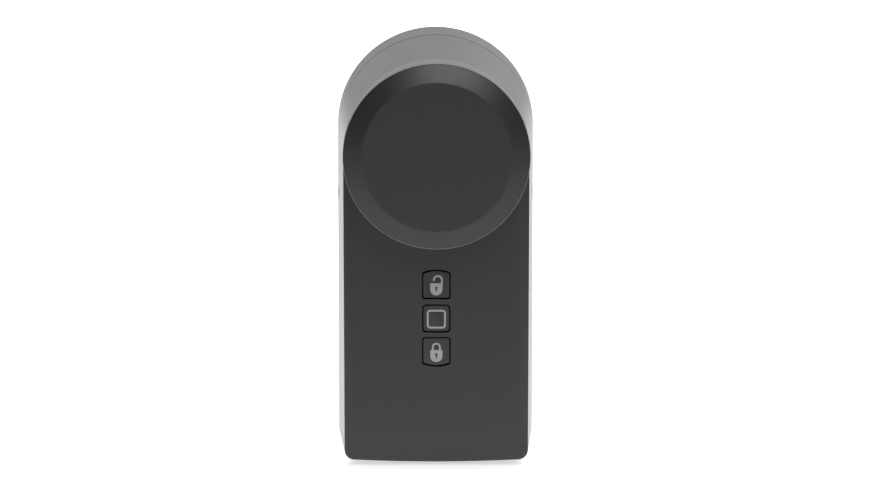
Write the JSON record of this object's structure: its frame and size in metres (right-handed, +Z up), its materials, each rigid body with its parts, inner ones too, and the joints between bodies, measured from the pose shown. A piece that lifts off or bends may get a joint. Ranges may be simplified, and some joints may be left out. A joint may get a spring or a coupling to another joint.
{
  "type": "keypad smart lock",
  "caption": "Motor drive for a door's lock cylinder: tapered round-topped casing, round handwheel, and unlock, open and lock keys.",
  "frame": {"origin": "on the lock cylinder's axis, at the mounting face", "axes": "+Y along the cylinder's axis towards the door, so the keys face -Y; +Z up the door"},
  "size_m": [0.059, 0.0636, 0.127],
  "materials": {
    "housing_grey": "moulded light grey, fine matt texture",
    "anthracite": "moulded anthracite, fine matt texture",
    "symbol_grey": "translucent light-guide inlay",
    "zinc_casting": "die-cast zinc, tumbled",
    "steel": "zinc-plated steel",
    "sintered_steel": "sintered steel",
    "acetal": "natural acetal, semi-gloss",
    "bronze": "oil-filled sintered bronze",
    "filled_nylon": "glass-filled nylon, matt",
    "board_laminate": "glass-epoxy laminate with solder resist",
    "black_resin": "moulded black resin",
    "nickel": "nickel-plated spring steel",
    "cell_wrap": "shrink-wrapped cell with steel ends",
    "light_resin": "clear epoxy"
  },
  "bodies": {
    "housing": {"housing_shell": "housing_grey", "rear_cover": "housing_grey", "front_cover": "anthracite", "mounting_plate": "zinc_casting", "cylinder_set_screws": "steel", "plate_lock_screws": "steel", "rear_cover_screws": "steel", "gearbox_screws": "steel", "board_screws": "steel", "motor_screws": "steel", "first_axle": "steel", "second_axle": "steel", "motor_can": "steel", "rear_bush": "bronze", "front_bush": "bronze", "gear_plate": "filled_nylon", "gear_cover": "filled_nylon", "battery_tray": "filled_nylon", "circuit_board": "board_laminate", "radio_module": "board_laminate", "switch_housings": "black_resin", "controller_chip": "black_resin", "sounder": "black_resin", "hall_sensor": "black_resin", "upper_contacts": "nickel", "contact_springs": "nickel", "antenna": "nickel", "battery_left": "cell_wrap", "battery_middle": "cell_wrap", "battery_right": "cell_wrap", "status_lights": "light_resin"},
    "handwheel": {"handwheel_shell": "housing_grey", "handwheel_cap": "anthracite", "key_cup": "zinc_casting", "drive_sleeve": "sintered_steel", "output_gear": "sintered_steel", "magnet_ring": "black_resin", "wheel_screws": "steel", "cup_screws": "steel"},
    "second_gear": {"second_gear": "acetal"},
    "first_gear": {"first_gear": "acetal"},
    "motor_rotor": {"motor_pinion": "acetal", "motor_shaft": "steel"},
    "unlock_key": {"unlock_button": "anthracite", "unlock_symbol": "symbol_grey", "unlock_plunger": "black_resin"},
    "open_key": {"open_button": "anthracite", "light_ring": "symbol_grey", "open_plunger": "black_resin"},
    "lock_key": {"lock_button": "anthracite", "lock_symbol": "symbol_grey", "lock_plunger": "black_resin"},
    "battery_door": {"battery_door": "housing_grey", "door_contacts": "nickel"}
  },
  "joints": [
    {"name": "handwheel_turn", "type": "hinge", "parent": "housing", "child": "handwheel", "pos_m": [0, -0.03, 0], "axis": [0, -1, 0], "continuous": true},
    {"name": "second_gear_turn", "type": "hinge", "parent": "housing", "child": "second_gear", "pos_m": [0.01594, -0.02, -0.019], "axis": [0, -1, 0], "continuous": true},
    {"name": "first_gear_turn", "type": "hinge", "parent": "housing", "child": "first_gear", "pos_m": [0.01249, -0.015, -0.02891], "axis": [0, -1, 0], "continuous": true},
    {"name": "motor_turn", "type": "hinge", "parent": "housing", "child": "motor_rotor", "pos_m": [0.0045, -0.015, -0.02847], "axis": [0, -1, 0], "continuous": true},
    {"name": "unlock_key_press", "type": "slide", "parent": "housing", "child": "unlock_key", "axis": [0, 1, 0], "range_m": [0, 0.0005], "stiffness_N_per_m": 1500},
    {"name": "open_key_press", "type": "slide", "parent": "housing", "child": "open_key", "axis": [0, 1, 0], "range_m": [0, 0.0005], "stiffness_N_per_m": 1500},
    {"name": "lock_key_press", "type": "slide", "parent": "housing", "child": "lock_key", "axis": [0, 1, 0], "range_m": [0, 0.0005], "stiffness_N_per_m": 1500},
    {"name": "battery_door_pull", "type": "slide", "parent": "housing", "child": "battery_door", "axis": [0, 0, -1], "range_m": [0, 0.015]}
  ],
  "couplings": [
    {"joint": "second_gear_turn", "follows": "handwheel_turn", "ratio": -4.1667},
    {"joint": "first_gear_turn", "follows": "handwheel_turn", "ratio": 13.333},
    {"joint": "motor_turn", "follows": "handwheel_turn", "ratio": -40}
  ]
}
